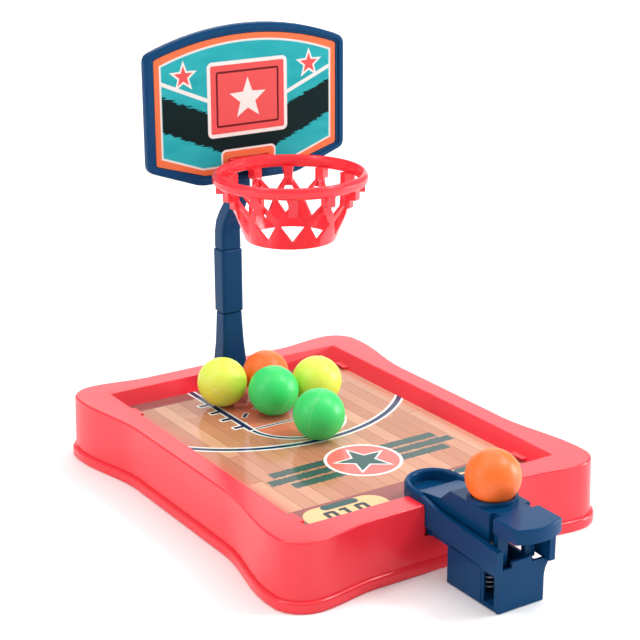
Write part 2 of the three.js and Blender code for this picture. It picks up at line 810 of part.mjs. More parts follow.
function fall(geometry) {
  const shear = new THREE.Matrix4();
  shear.makeTranslation(0, -pivotY, 0);
  geometry.applyMatrix4(shear);
  shear.makeShear(0, 0, 0, channelFallShare, 0, 0);
  geometry.applyMatrix4(shear);
  shear.makeTranslation(0, pivotY, 0);
  geometry.applyMatrix4(shear);
  return geometry;
}

function spoonOutline(inset, rear) {
  const radius = spoonRadius - inset;
  const centreY = front + spoonReach - spoonRadius;
  const points = [];
  const steps = 20;
  for (let i = 0; i <= steps; i += 1) {
    const angle = i / steps * Math.PI;
    points.push(new THREE.Vector2(radius * Math.cos(angle), centreY + radius * Math.sin(angle)));
  }
  points.push(new THREE.Vector2(-radius, rear), new THREE.Vector2(radius, rear));
  return points;
}

function spoon() {
  const rear = front + hookThickness;
  const top = channelHigh + beadRise;
  const low = channelHigh - spoonDepth;
  const outside = loft([
    { z: low, points: spoonOutline(0, rear) },
    { z: top - beadRound, points: spoonOutline(0, rear) },
    { z: top - beadRound / 3, points: spoonOutline(beadRound / 3, rear) },
    { z: top, points: spoonOutline(beadWidth / 2, rear) },
  ]);
  const inner = beadWidth;
  const open = front - overrun;
  const inside = loft([
    { z: low + spoonFloor, points: spoonOutline(inner, open) },
    { z: top - beadRound, points: spoonOutline(inner, open) },
    { z: top - beadRound / 3, points: spoonOutline(inner - beadRound / 3, open) },
    { z: top, points: spoonOutline(beadWidth / 2, open) },
    { z: top + overrun, points: spoonOutline(beadWidth / 2, open) },
  ]);
  return cut(outside, inside);
}

function channelSide(side) {
  const inner = side * (channelHalf - channelWall);
  const outer = side * channelHalf;
  const rear = -pocketHalfY - seatGap;
  const plan = new THREE.Shape([
    new THREE.Vector2(inner, rear),
    new THREE.Vector2(outer, rear),
    new THREE.Vector2(outer, front - seatGap),
    new THREE.Vector2(outer + side * channelSpread, channelFront),
    new THREE.Vector2(inner, channelFront),
  ]);
  const wall = new THREE.ExtrudeGeometry(plan, { depth: channelDepth, bevelEnabled: false });
  wall.translate(0, 0, channelLow);
  const ramp = sideProfile([
    [front - beadRunOut, channelHigh - beadRound],
    [front + hookThickness, channelHigh - beadRound],
    [front + hookThickness, channelHigh + beadRise - beadRound / 3],
    [front - beadRunOut, channelHigh],
  ], channelWall / 2);
  ramp.translate(side * (channelHalf - channelWall / 2), 0, 0);
  const bossFrom = side * (channelHalf - channelWall - pivotBossLength);
  const boss = rodX(pivotBossRadius,
    Math.min(bossFrom, inner + side * seatGap), Math.max(bossFrom, inner + side * seatGap), pivotY, pivotZ);
  return join(wall, ramp, boss);
}

function launcherChannel() {
  const rear = -pocketHalfY - seatGap;
  const inner = channelHalf - channelWall / 2;
  const floorEnd = front - channelFloorReach;
  const floor = block([-inner, floorEnd, channelLow], [inner, rear, channelLow + channelFloor]);
  const keel = block(
    [-boxHalf, front - boxStart + seatGap, channelLow - keelDrop],
    [boxHalf, front - seatGap, channelLow + channelFloor / 2]);
  const riser = block(
    [-inner, rear - channelWall, channelLow],
    [inner, rear, channelHigh - spoonDepth + spoonFloor]);
  const body = fall(join(channelSide(-1), channelSide(1), floor, keel, riser, spoon()));
  const hookY = front + traySkin;
  const hook = block(
    [-hookWidth / 2, hookY - hookThickness, hookLow + seatGap],
    [hookWidth / 2, hookY, channelLow + channelFloor / 2]);
  const pinHalf = channelHalf - channelWall + pinBite + seatGap;
  const pinHole = rodX(pinDiameter / 2 + pinClearance, -pinHalf, pinHalf, pivotY, pivotZ);
  return cut(join(body, hook), pinHole);
}

function leverPin() {
  const half = channelHalf - channelWall + pinBite;
  return rodX(pinDiameter / 2, -half, half, pivotY, pivotZ);
}

// Spring box under the channel: open at the top, with a window in its left side
function boxFront() {
  const low = boxLow;
  const high = rim - boxFrontLow;
  const crenel = rim - boxFrontHigh;
  const seat = channelLow + channelFallShare * (front - boxEnd - pivotY) - seatGap;
  const shoulderHalf = channelHalf + channelSpread * (boxEnd - boxWall) / channelReach;
  const corner = boxWall;
  const shape = new THREE.Shape();
  shape.moveTo(-boxHalf, low);
  shape.lineTo(boxHalf - corner, low);
  shape.quadraticCurveTo(boxHalf, low, boxHalf, low + corner);
  shape.lineTo(boxHalf, seat - boxShoulderHeight);
  shape.quadraticCurveTo(boxHalf, seat - boxShoulderHeight / 3, shoulderHalf, seat);
  shape.lineTo(boxHalf, seat);
  shape.lineTo(boxHalf, high);
  shape.lineTo(boxCrenelHalf, high);
  shape.lineTo(boxCrenelHalf, crenel);
  shape.lineTo(-boxCrenelHalf, crenel);
  shape.lineTo(-boxCrenelHalf, high);
  shape.lineTo(-boxHalf, high);
  shape.lineTo(-boxHalf, seat);
  shape.lineTo(-shoulderHalf, seat);
  shape.quadraticCurveTo(-boxHalf, seat - boxShoulderHeight / 3, -boxHalf, seat - boxShoulderHeight);
  shape.closePath();
  return frontProfile(shape, front - boxEnd + boxWall, boxWall);
}

function springBox() {
  const rear = front - boxStart;
  const end = front - boxEnd;
  const sideTop = channelLow - boxSideDrop;
  const above = fall(block(
    [-boxHalf - overrun, end - overrun, sideTop],
    [boxHalf + overrun, rear + overrun, rim]));
  const shell = cut(
    block([-boxHalf, end, boxLow], [boxHalf, rear, channelLow]),
    block([-boxHalf + boxWall, end + boxWall, boxLow + boxWall], [boxHalf - boxWall, rear - boxWall, rim]),
    above);
  const windowTop = sideTop + channelFallShare * (end - pivotY) - boxWall / 2;
  const backTop = channelLow + channelFallShare * (rear - boxWall - pivotY) - seatGap;
  const back = block([-boxHalf, rear - boxWall, boxLow], [boxHalf, rear, backTop]);
  const window = block(
    [-boxHalf - overrun, front - slotEnd, boxLow + boxWall],
    [-boxHalf + boxWall + seatGap, front - slotStart, windowTop]);
  const groove = block(
    [-boxHalf - overrun, front - slotEnd - seatGap, boxLow + boxWall / 2],
    [-boxHalf + boxPanelDepth, front - slotStart + boxWall, channelLow]);
  const guide = rodZ(guideRadius, boxLow + boxWall / 2, springLowZ + guideLength, 0, cupY, guideSides);
  return cut(join(shell, back, boxFront(), guide), window, groove);
}

// Lever: tongue, ramp, ball cup, neck with two legs, and finger pad
function leverShell() {
  const tongueSlope = (rampFootTop - tongueTipTop) / (rampFootReach + tongueTipReach);
  const underTongue = (reach) => (
    rim + tongueTipTop + tongueSlope * (tongueTipReach + reach) - tongueThickness);
  const outside = sideProfile([
    [front + tongueTipReach, rim + tongueTipTop],
    [front - rampFootReach, rim + rampFootTop],
    [front - rampTopReach, rim + leverTop],
    [front - blockEnd, rim + leverTop],
    [front - blockEnd, rim - skirtBottom],
    [front, rim - skirtBottom],
    [front + skirtRear, underTongue(-skirtRear)],
    [front + tongueTipReach, underTongue(-tongueTipReach)],
  ], leverHalf);
  const hollow = sideProfile([
    [front - leverWall, rim - skirtBottom - overrun],
    [front - leverWall, underTongue(leverWall)],
    [front - rampFootReach, underTongue(rampFootReach)],
    [front - rampTopReach - leverWall, rim + leverTop - leverWall],
    [front - blockEnd + leverWall, rim + leverTop - leverWall],
    [front - blockEnd + leverWall, rim - skirtBottom - overrun],
  ], leverHalf - leverWall);
  return cut(outside, hollow);
}

function ballCup() {
  return rodZ(collarOuter, rim + leverTop - cupBossDrop, rim + leverTop + collarRise, 0, cupY);
}

// Boss under the cup: the spring pushes on its end, and a stub centres the spring
function springSeat() {
  const end = rim - springSeatDrop;
  const boss = rodZ(springSeatRadius, end, rim + leverTop - cupBossDrop + seatGap, 0, cupY, guideSides);
  const stub = rodZ(guideRadius, end - guideLength, end + seatGap, 0, cupY, guideSides);
  return join(boss, stub);
}

function ballSphere(radius) {
  const sphere = new THREE.SphereGeometry(radius, ballSegments, ballRings);
  sphere.rotateX(Math.PI / 2);
  return sphere;
}

function leverNeck() {
  const low = rim + leverTop - padThickness;
  const bridge = block(
    [-neckHalf, front - legEnd, low],
    [neckHalf, front - blockEnd + leverWall, rim + leverTop]);
  const legs = [-1, 1].map((side) => block(
    [Math.min(side * legGapHalf, side * legOuterHalf), front - legEnd, legLowZ],
    [Math.max(side * legGapHalf, side * legOuterHalf), front - legStart, low + overrun]));
  return join(bridge, ...legs);
}

function padOutline(inset) {
  const half = padHalf - inset;
  const rear = front - padStart - inset;
  const shoulder = front - padShoulder;
  const end = front - padEnd + inset;
  const arc = new THREE.QuadraticBezierCurve(
    new THREE.Vector2(-half, shoulder),
    new THREE.Vector2(0, 2 * end - shoulder),
    new THREE.Vector2(half, shoulder));
  const steps = 12;
  const points = [new THREE.Vector2(half, rear), new THREE.Vector2(-half, rear)];
  return [...points, ...arc.getPoints(steps)];
}

function fingerPad() {
  const top = rim + leverTop;
  const low = top - padThickness;
  return loft([
    { z: low, points: padOutline(0) },
    { z: top - padRound, points: padOutline(0) },
    { z: top, points: padOutline(padRound) },
  ]);
}

function leverEars() {
  const topZ = rim + rampFootTop - tongueThickness;
  return [-1, 1].map((side) => {
    const from = Math.min(side * earInner, side * earOuter);
    const to = Math.max(side * earInner, side * earOuter);
    const knuckle = rodX(earHalf, from, to, pivotY, pivotZ);
    const web = block([from, pivotY - earHalf, pivotZ], [to, pivotY + earHalf, topZ - tongueThickness / 3]);
    return join(knuckle, web);
  });
}

function leverHeel() {
  const tip = front + tongueTipReach;
  const restZ = channelHigh - spoonDepth + spoonFloor + channelFallShare * (tip - pivotY) + seatGap;
  return block(
    [-heelHalf, tip - heelLength, restZ],
    [heelHalf, tip, rim + tongueTipTop - tongueThickness / 2]);
}

function launcherLever() {
  const body = join(
    leverShell(), ballCup(), springSeat(), leverNeck(), fingerPad(), ...leverEars(), leverHeel());
  const ball = ballSphere(orangeBallRadius + seatGap);
  ball.translate(0, cupY, cupZ);
  const bore = rodX(pinDiameter / 2 + pinClearance, -channelHalf, channelHalf, pivotY, pivotZ);
  return cut(body, ball, bore);
}

// Compression spring: one unbroken tube along a helix, its ends straight for one wire
function launchSpring() {
  const wire = springWire / 2;
  const low = springLowZ + wire;
  const high = springHighZ - wire;
  const stepCount = springCurls * springSteps;
  const centres = [];
  for (let i = 0; i <= stepCount; i += 1) {
    const angle = i / springSteps * 2 * Math.PI;
    centres.push(new THREE.Vector3(
      springRadius * Math.cos(angle),
      cupY + springRadius * Math.sin(angle),
      low + (high - low) * i / stepCount));
  }
  const angles = centres.map((centre, i) => i / springSteps * 2 * Math.PI);
  const start = centres[0].clone().add(new THREE.Vector3(0, -springWire, 0));
  const end = centres[stepCount].clone().add(new THREE.Vector3(0, springWire, 0));
  const path = [start, ...centres, end];
  const turns = [angles[0], ...angles, angles[stepCount]];
  const positions = [];
  const indices = [];
  const pitch = (high - low) / springCurls;
  path.forEach((centre, i) => {
    const angle = turns[i];
    const outward = new THREE.Vector3(Math.cos(angle), Math.sin(angle), 0);
    const along = new THREE.Vector3(-Math.sin(angle), Math.cos(angle), pitch / (2 * Math.PI * springRadius));
    const across = new THREE.Vector3().crossVectors(along.normalize(), outward);
    for (let j = 0; j < springSides; j += 1) {
      const turn = j / springSides * 2 * Math.PI;
      const point = centre.clone()
        .addScaledVector(outward, wire * Math.cos(turn))
        .addScaledVector(across, wire * Math.sin(turn));
      positions.push(point.x, point.y, point.z);
    }
  });
  for (let i = 0; i < path.length - 1; i += 1) {
    for (let j = 0; j < springSides; j += 1) {
      const a = i * springSides + j;
      const b = i * springSides + (j + 1) % springSides;
      indices.push(a, b, b + springSides, a, b + springSides, a + springSides);
    }
  }
  const last = (path.length - 1) * springSides;
  for (let j = 1; j < springSides - 1; j += 1) {
    indices.push(0, j + 1, j);
    indices.push(last, last + j, last + j + 1);
  }
  reportSpringGap(centres);
  const geometry = new THREE.BufferGeometry();
  geometry.setAttribute('position', new THREE.Float32BufferAttribute(positions, 3));
  geometry.setIndex(indices);
  return geometry;
}

// Least distance between stretches of the wire that are at least half a curl apart
function reportSpringGap(centres) {
  let least = Infinity;
  for (let i = 0; i < centres.length; i += 1) {
    for (let j = i + springSteps / 2; j < centres.length; j += 1) {
      least = Math.min(least, centres[i].distanceTo(centres[j]) - springWire);
    }
  }
  console.log(`launch_spring: least gap to itself ${least.toFixed(2)} mm`);
}

// Balls, each with the shallow vent ring of a blown ball
function ball(radius) {
  const vent = new THREE.CylinderGeometry(ventDiameter / 2, ventDiameter / 2, 2 * ventDepth, ventSides);
  vent.rotateX(Math.PI / 2);
  vent.translate(0, 0, radius);
  return cut(ballSphere(radius), vent);
}

// Assembly, centred on the whole game's length
const game = new THREE.Group();
const backEnd = endCornerHalf + footFlange;
const playerEnd = front - padEnd;
game.position.set(0, -(backEnd + playerEnd) / 2, 0);

function place(name, geometry, material, position = [0, 0, 0]) {
  const mesh = new THREE.Mesh(geometry, material);
  mesh.name = name;
  mesh.position.set(...position);
  game.add(mesh);
}

place('tray_base', trayShell(), coralPlastic);
place('court_card', courtCard(), printedCard);
place('lower_post', lowerPost(), navyPlastic);
place('middle_sleeve', middleSleeve(), navyPlastic);
place('upper_arm', upperArm(), navyPlastic);
place('backboard_frame', backboardFrame(), navyPlastic);
place('backboard_panel', backboardPanel(), printedPanel);
place('hoop_net', hoopNet(), coralPlastic);
place('launcher_channel', launcherChannel(), navyPlastic);
place('spring_box', springBox(), navyPlastic);
place('launcher_lever', launcherLever(), navyPlastic);
place('lever_pin', leverPin(), springSteel);
place('launch_spring', launchSpring(), springSteel);
for (const { name, colour, radius, right, forward } of courtBallShares) {
  const y = poleY - forward * ballDiameter;
  place(name, ball(radius), plastic(colour, 0.45), [right * ballDiameter, y, cardTop + seatGap + radius]);
}
place('ball_orange_launcher', ball(orangeBallRadius), plastic(0xff7a33, 0.45), [0, cupY, cupZ]);

export default game;
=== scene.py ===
# %% [markdown]
# # A tabletop basketball game, dressed for a studio photograph
#
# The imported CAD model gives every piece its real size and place. This notebook gives the pieces
# their moulded edges, their plastics and their printed cards, and then sets up a plain studio.
# All lengths are metres, and the model's own frame is kept: +Z is up, +Y points to the hoop.

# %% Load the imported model
import math

import bmesh
import bpy
from mathutils import Matrix, Vector
from mathutils.bvhtree import BVHTree
from mathutils.kdtree import KDTree


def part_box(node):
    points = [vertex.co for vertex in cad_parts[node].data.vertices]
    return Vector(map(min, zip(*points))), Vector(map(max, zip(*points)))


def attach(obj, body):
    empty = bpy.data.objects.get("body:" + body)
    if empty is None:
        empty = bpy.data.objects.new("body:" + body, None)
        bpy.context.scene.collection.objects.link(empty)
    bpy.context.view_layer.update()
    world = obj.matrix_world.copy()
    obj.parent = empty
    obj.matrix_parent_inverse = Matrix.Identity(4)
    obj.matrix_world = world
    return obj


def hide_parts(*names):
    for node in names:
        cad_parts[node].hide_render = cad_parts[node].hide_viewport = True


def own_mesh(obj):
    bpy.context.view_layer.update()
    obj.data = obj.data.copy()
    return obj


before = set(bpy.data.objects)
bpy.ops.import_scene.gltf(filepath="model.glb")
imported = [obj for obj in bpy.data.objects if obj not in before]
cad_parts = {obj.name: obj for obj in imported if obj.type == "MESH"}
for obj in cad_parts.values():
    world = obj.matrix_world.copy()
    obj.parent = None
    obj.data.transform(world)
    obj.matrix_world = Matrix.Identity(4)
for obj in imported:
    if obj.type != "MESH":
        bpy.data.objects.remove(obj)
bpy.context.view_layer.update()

MM = 0.001

# %% [markdown]
# ## The camera
#
# The photograph looks down on the game from the front left, through a long lens. A camera is set
# by where it stands, what it looks at and how far its lens reaches. These numbers came from
# fitting the tray's and the board's straight edges, so the render can be laid over the picture.
# The lens was fitted in pixels of a picture 640 pixels wide, and Blender wants it in millimetres.

# %% Place the camera
TRAY_RIM = 31.5 * MM
TRAY_MIDDLE_Y = 27.25 * MM
LOOKED_AT = Vector((84.85 * MM, 131.11 * MM + TRAY_MIDDLE_Y, TRAY_RIM))
CAMERA_DISTANCE_MM = 943.21
LENS_PIXELS, PICTURE_PIXELS, SENSOR_MM = 1654.73, 640.0, 36.0

azimuth, elevation, roll = (math.radians(a) for a in (-33.02, 18.44, -0.19))
away = Vector((
    math.sin(azimuth) * math.cos(elevation),
    -math.cos(azimuth) * math.cos(elevation),
    math.sin(elevation),
))
level_right = (-away).cross(Vector((0, 0, 1))).normalized()
level_up = level_right.cross(-away)
right = math.cos(roll) * level_right + math.sin(roll) * level_up
up = math.cos(roll) * level_up - math.sin(roll) * level_right

camera_data = bpy.data.cameras.new("studio_camera")
camera_data.sensor_width = SENSOR_MM
camera_data.lens = LENS_PIXELS * SENSOR_MM / PICTURE_PIXELS
camera = bpy.data.objects.new("studio_camera", camera_data)
bpy.context.scene.collection.objects.link(camera)
turn = Matrix((right, up, away)).transposed().to_4x4()
camera.matrix_world = Matrix.Translation(LOOKED_AT + away * CAMERA_DISTANCE_MM * MM) @ turn
bpy.context.scene.camera = camera
print(
    "camera at", [round(v, 3) for v in camera.matrix_world.translation],
    "lens", round(camera_data.lens, 1))

# %% [markdown]
# ## Small helpers for selecting
#
# Blender's operators act on whatever is selected. Before each step everything is deselected, and
# then only the piece that is worked on becomes the active object.

# %% Selecting one piece
def only(piece):
    bpy.ops.object.select_all(action="DESELECT")
    piece.select_set(True)
    bpy.context.view_layer.objects.active = piece


def edit(piece):
    only(piece)
    bpy.ops.object.mode_set(mode="EDIT")
    bpy.ops.mesh.select_all(action="SELECT")


def leave_edit():
    bpy.ops.object.mode_set(mode="OBJECT")


def apply_modifier(piece, modifier):
    only(piece)
    bpy.ops.object.modifier_apply(modifier=modifier.name)


# %% [markdown]
# ## A node group for moulded plastic
#
# No moulded surface is perfectly even: the steel mould leaves a very fine grain, and handling
# leaves faint patches that shine a little differently. Every plastic here needs that, so it is
# one node group. It gives a roughness that varies slowly, a height for a Bump node, and a tint
# that lightens and darkens the colour by a very small amount.

# %% Build the moulded-surface group
def new_group(name, inputs, outputs):
    group = bpy.data.node_groups.new(name, "ShaderNodeTree")
    for label, kind, value in inputs:
        socket = group.interface.new_socket(label, in_out="INPUT", socket_type=kind)
        socket.default_value = value
    for label, kind in outputs:
        group.interface.new_socket(label, in_out="OUTPUT", socket_type=kind)
    return group, group.nodes.new("NodeGroupInput"), group.nodes.new("NodeGroupOutput")


def moulded_surface_group():
    group, given, result = new_group(
        "Moulded surface",
        [
            ("Grain Size", "NodeSocketFloat", 0.0004),
            ("Patch Size", "NodeSocketFloat", 0.03),
            ("Roughness", "NodeSocketFloat", 0.35),
            ("Roughness Spread", "NodeSocketFloat", 0.06),
            ("Tint Spread", "NodeSocketFloat", 0.04),
        ],
        [
            ("Roughness", "NodeSocketFloat"),
            ("Tint", "NodeSocketFloat"),
            ("Height", "NodeSocketFloat"),
        ],
    )
    nodes, links = group.nodes, group.links
    place = nodes.new("ShaderNodeTexCoord")

    def noise(size_socket, detail):
        scale = nodes.new("ShaderNodeMath")
        scale.operation = "DIVIDE"
        scale.inputs[0].default_value = 1.0
        links.new(given.outputs[size_socket], scale.inputs[1])
        texture = nodes.new("ShaderNodeTexNoise")
        texture.inputs["Detail"].default_value = detail
        links.new(place.outputs["Object"], texture.inputs["Vector"])
        links.new(scale.outputs[0], texture.inputs["Scale"])
        return texture.outputs["Fac"]

    def spread(value, amount_socket, base=None):
        centred = nodes.new("ShaderNodeMath")
        centred.operation = "SUBTRACT"
        links.new(value, centred.inputs[0])
        centred.inputs[1].default_value = 0.5
        scaled = nodes.new("ShaderNodeMath")
        scaled.operation = "MULTIPLY_ADD"
        links.new(centred.outputs[0], scaled.inputs[0])
        links.new(given.outputs[amount_socket], scaled.inputs[1])
        if base is None:
            scaled.inputs[2].default_value = 1.0
        else:
            links.new(given.outputs[base], scaled.inputs[2])
        return scaled.outputs[0]

    patches = noise("Patch Size", detail=3.0)
    grain = noise("Grain Size", detail=2.0)
    links.new(spread(patches, "Roughness Spread", "Roughness"), result.inputs["Roughness"])
    links.new(spread(patches, "Tint Spread"), result.inputs["Tint"])
    links.new(grain, result.inputs["Height"])
    return group


MOULDED = moulded_surface_group()
print("group:", MOULDED.name)

# %% [markdown]
# ## The plastics
#
# The tray and the hoop are a satin coral red, the pole and the launcher a deep navy, and the
# blown balls are softer and duller. Each plastic is a Principled shader. Its own colour goes
# through the group's tint, and its roughness and bump come from the group too. Numbers that are
# the same all over, such as the specular level, are set on the shader itself.

# %% A recipe for one plastic
GRAIN_DEPTH = 0.0001
PLASTIC_IOR = 1.5


def shader_of(name, roughness=0.4):
    material = bpy.data.materials.new(name)
    material.use_nodes = True
    shader = material.node_tree.nodes["Principled BSDF"]
    shader.inputs["Roughness"].default_value = roughness
    return material, material.node_tree, shader


def add_moulded(tree, shader, colour, roughness, spread=0.05, tint=0.05, grain=0.0004, bump=0.02):
    nodes, links = tree.nodes, tree.links
    surface = nodes.new("ShaderNodeGroup")
    surface.node_tree = MOULDED
    surface.inputs["Roughness"].default_value = roughness
    surface.inputs["Roughness Spread"].default_value = spread
    surface.inputs["Tint Spread"].default_value = tint
    surface.inputs["Grain Size"].default_value = grain
    tinted = nodes.new("ShaderNodeMix")
    tinted.data_type = "RGBA"
    tinted.blend_type = "MULTIPLY"
    tinted.inputs["Factor"].default_value = 1.0
    if isinstance(colour, tuple):
        tinted.inputs["A"].default_value = (*colour, 1.0)
    else:
        links.new(colour, tinted.inputs["A"])
    links.new(surface.outputs["Tint"], tinted.inputs["B"])
    links.new(tinted.outputs["Result"], shader.inputs["Base Color"])
    links.new(surface.outputs["Roughness"], shader.inputs["Roughness"])
    relief = nodes.new("ShaderNodeBump")
    relief.inputs["Strength"].default_value = bump
    relief.inputs["Distance"].default_value = GRAIN_DEPTH
    links.new(surface.outputs["Height"], relief.inputs["Height"])
    links.new(relief.outputs["Normal"], shader.inputs["Normal"])


def plastic(name, colour, roughness, shine=0.5, **finish):
    material, tree, shader = shader_of(name)
    shader.inputs["IOR"].default_value = PLASTIC_IOR
    shader.inputs["Specular IOR Level"].default_value = shine
    add_moulded(tree, shader, colour, roughness, **finish)
    return material


# %% Mix the plastics
BALL_ROUGHNESS, SEAM_ROUGHNESS = 0.4, 0.5
BALL_COLOURS = {
    "yellow": (0.8, 0.96, 0.1),
    "green": (0.035, 0.72, 0.15),
    "orange": (1.0, 0.165, 0.018),
}


# Painted highlight: the seam and the vent ring get this paler colour for the light they catch.
def paled_for_highlight(colour):
    return tuple(0.8 * part + 0.2 for part in colour)


CORAL = plastic("coral_plastic", (0.9, 0.028, 0.045), 0.22, shine=0.55)
NAVY = plastic("navy_plastic", (0.0015, 0.048, 0.142), 0.27, shine=0.12, tint=0.08)
BALLS = {
    name: plastic(name + "_ball_plastic", colour, BALL_ROUGHNESS)
    for name, colour in BALL_COLOURS.items()
}
# Paler plastics for the seams and vent rings, a painted highlight.
SEAM_HIGHLIGHTS = {
    name: plastic(name + "_seam_highlight_plastic", paled_for_highlight(colour), SEAM_ROUGHNESS)
    for name, colour in BALL_COLOURS.items()
}
print("plastics:", CORAL.name, NAVY.name, *[m.name for m in BALLS.values()])

# %% [markdown]
# ## Steel for the spring and the pin
#
# Drawn wire is bright along its length, with fine scratches from the drawing die. The moulded
# surface's group gives these too, with a finer grain and a wider spread than on plastic.

# %% Steel
def steel(name):
    material, tree, shader = shader_of(name)
    shader.inputs["Metallic"].default_value = 1.0
    add_moulded(
        tree, shader, (0.6, 0.6, 0.62), 0.28, spread=0.2, tint=0.15, grain=0.0002, bump=0.05)
    return material


STEEL = steel("spring_steel")
print("steel:", STEEL.name)

# %% [markdown]
# ## A small kit for printed cards
#
# A printed card is flat, so its picture can be drawn by arithmetic on the place of each point. A
# shape is a distance: below zero inside it, above zero outside. A ring is the distance to a
# circle, a plank is a number that steps along the card. `paint` lays a colour over what is
# already there, wherever a shape's distance is negative. On a card, lengths are millimetres, and
# a mirrored shape is drawn on both halves at once.

# %% The print kit
STAR_POINT = math.pi / 5
STAR_WAIST = 0.42


class Print:
    def __init__(self, tree, first_axis, second_axis, origin):
        self.tree = tree
        place = tree.nodes.new("ShaderNodeTexCoord")
        split = tree.nodes.new("ShaderNodeSeparateXYZ")
        tree.links.new(place.outputs["Object"], split.inputs[0])
        self.x = self.millimetres(split.outputs[first_axis], origin[0])
        self.y = self.millimetres(split.outputs[second_axis], origin[1])
        self.colour = None

    def millimetres(self, place, origin):
        return self.sum(self.sum(place, "SUBTRACT", origin), "MULTIPLY", 1 / MM)

    def sum(self, a, operation, b=None, c=None, clamp=False):
        node = self.tree.nodes.new("ShaderNodeMath")
        node.operation = operation
        node.use_clamp = clamp
        for socket, value in zip(node.inputs, (a, b, c)):
            if value is None:
                continue
            if isinstance(value, (int, float)):
                socket.default_value = value
            else:
                self.tree.links.new(value, socket)
        return node.outputs[0]

    def both(self, *shapes):
        out = shapes[0]
        for shape in shapes[1:]:
            out = self.sum(out, "MAXIMUM", shape)
        return out

    def either(self, *shapes):
        out = shapes[0]
        for shape in shapes[1:]:
            out = self.sum(out, "MINIMUM", shape)
        return out

    def outline(self, shape, width):
        return self.sum(self.sum(shape, "ABSOLUTE"), "SUBTRACT", width / 2)

    def grow(self, shape, by):
        return self.sum(shape, "SUBTRACT", by)

    def length(self, a, b):
        squares = self.sum(self.sum(a, "MULTIPLY", a), "ADD", self.sum(b, "MULTIPLY", b))
        return self.sum(squares, "SQRT")

    def from_middle(self):
        return self.sum(self.x, "ABSOLUTE")

    def disc(self, cx, cy, radius):
        dx, dy = self.sum(self.x, "SUBTRACT", cx), self.sum(self.y, "SUBTRACT", cy)
        return self.grow(self.length(dx, dy), radius)

    def box(self, cx, cy, half_x, half_y, corner=0.0, mirrored=False):
        x = self.from_middle() if mirrored else self.x
        dx = self.grow(self.sum(self.sum(x, "SUBTRACT", cx), "ABSOLUTE"), half_x - corner)
        dy = self.grow(self.sum(self.sum(self.y, "SUBTRACT", cy), "ABSOLUTE"), half_y - corner)
        outside = self.length(self.sum(dx, "MAXIMUM", 0.0), self.sum(dy, "MAXIMUM", 0.0))
        inside = self.sum(self.sum(dx, "MAXIMUM", dy), "MINIMUM", 0.0)
        return self.grow(self.sum(outside, "ADD", inside), corner)

    def star(self, cx, cy, radius, mirrored=False):
        x = self.from_middle() if mirrored else self.x
        dx, dy = self.sum(x, "SUBTRACT", cx), self.sum(self.y, "SUBTRACT", cy)
        angle = self.sum(self.sum(dx, "ARCTAN2", dy), "PINGPONG", STAR_POINT)
        far = self.length(dx, dy)
        waist = radius * STAR_WAIST
        waist_x, waist_y = waist * math.cos(STAR_POINT), waist * math.sin(STAR_POINT)
        edge = Vector((waist_x - radius, waist_y)).normalized()
        normal = Vector((edge.y, -edge.x))
        across = self.sum(self.sum(far, "MULTIPLY", self.sum(angle, "COSINE")), "SUBTRACT", radius)
        along = self.sum(far, "MULTIPLY", self.sum(angle, "SINE"))
        return self.sum(
            self.sum(across, "MULTIPLY", normal.x), "ADD", self.sum(along, "MULTIPLY", normal.y))

    def noise(self, scale_x, scale_y, detail):
        place = self.tree.nodes.new("ShaderNodeCombineXYZ")
        self.tree.links.new(self.sum(self.x, "MULTIPLY", scale_x), place.inputs[0])
        self.tree.links.new(self.sum(self.y, "MULTIPLY", scale_y), place.inputs[1])
        texture = self.tree.nodes.new("ShaderNodeTexNoise")
        texture.inputs["Scale"].default_value = 1.0
        texture.inputs["Detail"].default_value = detail
        self.tree.links.new(place.outputs[0], texture.inputs["Vector"])
        return self.sum(texture.outputs["Fac"], "SUBTRACT", 0.5)

    def paint(self, shape, colour, strength=1.0, softness=0.25):
        mask = self.sum(self.sum(shape, "MULTIPLY", -1 / softness), "ADD", 0.5, clamp=True)
        if strength != 1.0:
            mask = self.sum(mask, "MULTIPLY", strength)
        mix = self.tree.nodes.new("ShaderNodeMix")
        mix.data_type = "RGBA"
        self.tree.links.new(mask, mix.inputs["Factor"])
        for socket, value in ((mix.inputs["A"], self.colour), (mix.inputs["B"], colour)):
            if isinstance(value, tuple):
                socket.default_value = (*value, 1.0)
            else:
                self.tree.links.new(value, socket)
        self.colour = mix.outputs["Result"]


# %% [markdown]
# ## The court card
#
# The card shows a wooden floor with ordinary court lines. The planks come from a Brick texture
# whose rows run along the court. The lines are navy with a white edge, so each shape is painted
# twice: once a little wider in white, then in navy. A plain star in a disc, with three rough bars
# on each side, lies in front of the arc, and two score plates carry plain numbers. All places are
# counted from the card's middle.

# %% Court colours, in the shader's linear values
INK = (0.005, 0.022, 0.1)
CHALK = (0.86, 0.84, 0.82)
PLANK_PALE = (0.69, 0.37, 0.23)
PLANK_WARM = (0.5, 0.205, 0.115)
PLANK_SEAM = (0.36, 0.12, 0.07)
SALMON = (0.7, 0.17, 0.1)
MAUVE = (0.31, 0.085, 0.075)
CREAM = (0.9, 0.56, 0.27)
PINE = (0.014, 0.085, 0.08)
EMBLEM_RED = (0.84, 0.17, 0.15)
DIGIT_INK = (0.02, 0.035, 0.035)

# %% Draw the wooden floor
PLANK_LENGTH, PLANK_WIDTH = 84.0, 7.4
PLANK_OFFSET = 0.37


